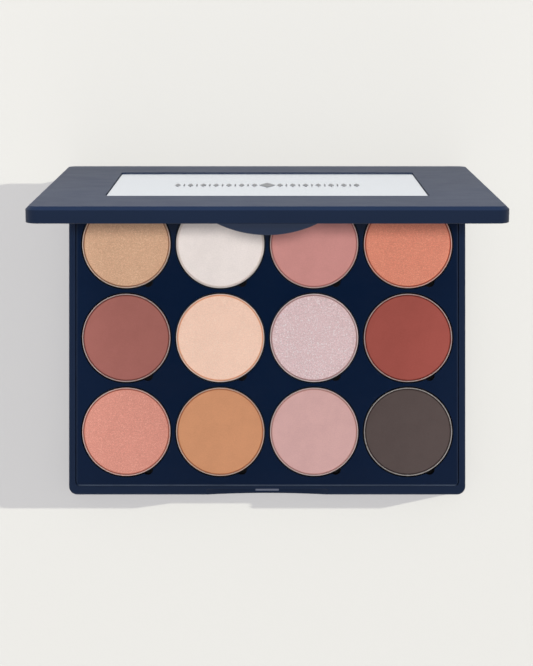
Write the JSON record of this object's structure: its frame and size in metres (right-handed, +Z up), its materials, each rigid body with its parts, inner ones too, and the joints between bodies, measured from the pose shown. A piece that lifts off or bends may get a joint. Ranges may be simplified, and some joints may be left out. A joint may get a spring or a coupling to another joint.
{
  "type": "eyeshadow palette",
  "caption": "Hinged flat case holding round lift-out pans of pressed eyeshadow, with a thumb pocket in front, a plaque on the lid and a mirror inside it.",
  "frame": {"origin": "centre of the base case's flat underside", "axes": "+X along the hinge line to the right of someone using it, +Y back towards the hinge, +Z up"},
  "size_m": [0.117, 0.0958, 0.098],
  "materials": {
    "case_plastic": "soft satin navy",
    "deck_plastic": "satin navy",
    "frame_plastic": "satin navy",
    "magnet": "dull black",
    "pin_steel": "ground",
    "pan_metal": "pressed, satin",
    "plaque_metal": "smooth silver, clear coated",
    "mirror_glass": "polished",
    "tape": "foam",
    "powder_1": "gold tan shimmer pressed powder",
    "powder_2": "cream matte pressed powder",
    "powder_3": "rose matte pressed powder",
    "powder_4": "coral shimmer pressed powder",
    "powder_5": "mauve brown matte pressed powder",
    "powder_6": "peach satin pressed powder",
    "powder_7": "silver pink glitter pressed powder",
    "powder_8": "brick matte pressed powder",
    "powder_9": "salmon shimmer pressed powder",
    "powder_10": "caramel matte pressed powder",
    "powder_11": "dusty pink matte pressed powder",
    "powder_12": "charcoal matte pressed powder"
  },
  "bodies": {
    "base": {"base_case": "case_plastic", "pan_tray": "deck_plastic", "magnet_sheet": "magnet", "hinge_pin_left": "pin_steel", "hinge_pin_right": "pin_steel"},
    "lid": {"lid_shell": "case_plastic", "lid_plaque": "plaque_metal", "mirror_frame": "frame_plastic", "mirror": "mirror_glass", "mirror_tape": "tape"},
    "filled_pan_1": {"pan_1": "pan_metal", "powder_1": "powder_1"},
    "filled_pan_2": {"pan_2": "pan_metal", "powder_2": "powder_2"},
    "filled_pan_3": {"pan_3": "pan_metal", "powder_3": "powder_3"},
    "filled_pan_4": {"pan_4": "pan_metal", "powder_4": "powder_4"},
    "filled_pan_5": {"pan_5": "pan_metal", "powder_5": "powder_5"},
    "filled_pan_6": {"pan_6": "pan_metal", "powder_6": "powder_6"},
    "filled_pan_7": {"pan_7": "pan_metal", "powder_7": "powder_7"},
    "filled_pan_8": {"pan_8": "pan_metal", "powder_8": "powder_8"},
    "filled_pan_9": {"pan_9": "pan_metal", "powder_9": "powder_9"},
    "filled_pan_10": {"pan_10": "pan_metal", "powder_10": "powder_10"},
    "filled_pan_11": {"pan_11": "pan_metal", "powder_11": "powder_11"},
    "filled_pan_12": {"pan_12": "pan_metal", "powder_12": "powder_12"}
  },
  "joints": [
    {"name": "lid_hinge", "type": "hinge", "parent": "base", "child": "lid", "pos_m": [0, 0.0446, 0.007], "axis": [-1, 0, 0], "range_deg": [-78.65, 26.15]},
    {"name": "pan_1_lift", "type": "slide", "parent": "base", "child": "filled_pan_1", "axis": [0, 0, 1], "range_m": [0, 0.01]},
    {"name": "pan_2_lift", "type": "slide", "parent": "base", "child": "filled_pan_2", "axis": [0, 0, 1], "range_m": [0, 0.01]},
    {"name": "pan_3_lift", "type": "slide", "parent": "base", "child": "filled_pan_3", "axis": [0, 0, 1], "range_m": [0, 0.01]},
    {"name": "pan_4_lift", "type": "slide", "parent": "base", "child": "filled_pan_4", "axis": [0, 0, 1], "range_m": [0, 0.01]},
    {"name": "pan_5_lift", "type": "slide", "parent": "base", "child": "filled_pan_5", "axis": [0, 0, 1], "range_m": [0, 0.01]},
    {"name": "pan_6_lift", "type": "slide", "parent": "base", "child": "filled_pan_6", "axis": [0, 0, 1], "range_m": [0, 0.01]},
    {"name": "pan_7_lift", "type": "slide", "parent": "base", "child": "filled_pan_7", "axis": [0, 0, 1], "range_m": [0, 0.01]},
    {"name": "pan_8_lift", "type": "slide", "parent": "base", "child": "filled_pan_8", "axis": [0, 0, 1], "range_m": [0, 0.01]},
    {"name": "pan_9_lift", "type": "slide", "parent": "base", "child": "filled_pan_9", "axis": [0, 0, 1], "range_m": [0, 0.01]},
    {"name": "pan_10_lift", "type": "slide", "parent": "base", "child": "filled_pan_10", "axis": [0, 0, 1], "range_m": [0, 0.01]},
    {"name": "pan_11_lift", "type": "slide", "parent": "base", "child": "filled_pan_11", "axis": [0, 0, 1], "range_m": [0, 0.01]},
    {"name": "pan_12_lift", "type": "slide", "parent": "base", "child": "filled_pan_12", "axis": [0, 0, 1], "range_m": [0, 0.01]}
  ]
}
